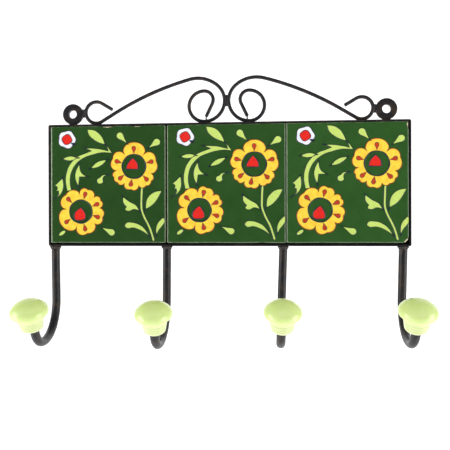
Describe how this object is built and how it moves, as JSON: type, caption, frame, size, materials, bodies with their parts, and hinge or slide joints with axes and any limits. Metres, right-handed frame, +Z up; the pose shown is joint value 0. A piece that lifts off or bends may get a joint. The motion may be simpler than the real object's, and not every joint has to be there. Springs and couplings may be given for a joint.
{
  "type": "wall hook rack",
  "caption": "Wall hook rack: glazed floral tiles in a black steel tray with wire scrolls on top, rod hooks with ceramic knobs below and screw rings at the sides.",
  "frame": {"origin": "centre of the tray's back face, on the wall plane", "axes": "+X along the rack to the viewer's right, +Y into the wall, +Z up"},
  "size_m": [0.3208, 0.0748, 0.2244],
  "materials": {
    "black_iron": "gloss",
    "tile_glaze_green": "gloss",
    "knob_glaze": "gloss",
    "tile_adhesive": "matte",
    "knob_cement": "matte",
    "petal_yellow": "gloss",
    "leaf_lime": "gloss",
    "blossom_red": "gloss",
    "stamen_brick": "gloss",
    "blossom_white": "gloss",
    "outline_navy": "gloss",
    "bisque_body": "matte"
  },
  "bodies": {
    "root": {"back_tray": "black_iron", "hook_far_left": "black_iron", "hook_far_right": "black_iron", "hook_mid_left": "black_iron", "hook_mid_right": "black_iron", "knob_cement_far_left": "knob_cement", "knob_cement_far_right": "knob_cement", "knob_cement_mid_left": "knob_cement", "knob_cement_mid_right": "knob_cement", "knob_far_left": "knob_glaze", "knob_far_right": "knob_glaze", "knob_mid_left": "knob_glaze", "knob_mid_right": "knob_glaze", "mounting_ring_left": "black_iron", "mounting_ring_right": "black_iron", "ring_foot_weld_left": "black_iron", "ring_foot_weld_right": "black_iron", "ring_weld_left": "black_iron", "ring_weld_right": "black_iron", "scroll_foot_welds_left": "black_iron", "scroll_foot_welds_right": "black_iron", "scroll_left": "black_iron", "scroll_pair_weld": "black_iron", "scroll_right": "black_iron", "tail_tack_weld_left": "black_iron", "tail_tack_weld_right": "black_iron", "tile_adhesive_left": "tile_adhesive", "tile_adhesive_middle": "tile_adhesive", "tile_adhesive_right": "tile_adhesive", "tile_left": "tile_glaze_green", "tile_middle": "tile_glaze_green", "tile_right": "tile_glaze_green", "weld_collar_far_left": "black_iron", "weld_collar_far_right": "black_iron", "weld_collar_mid_left": "black_iron", "weld_collar_mid_right": "black_iron"}
  },
  "joints": []
}
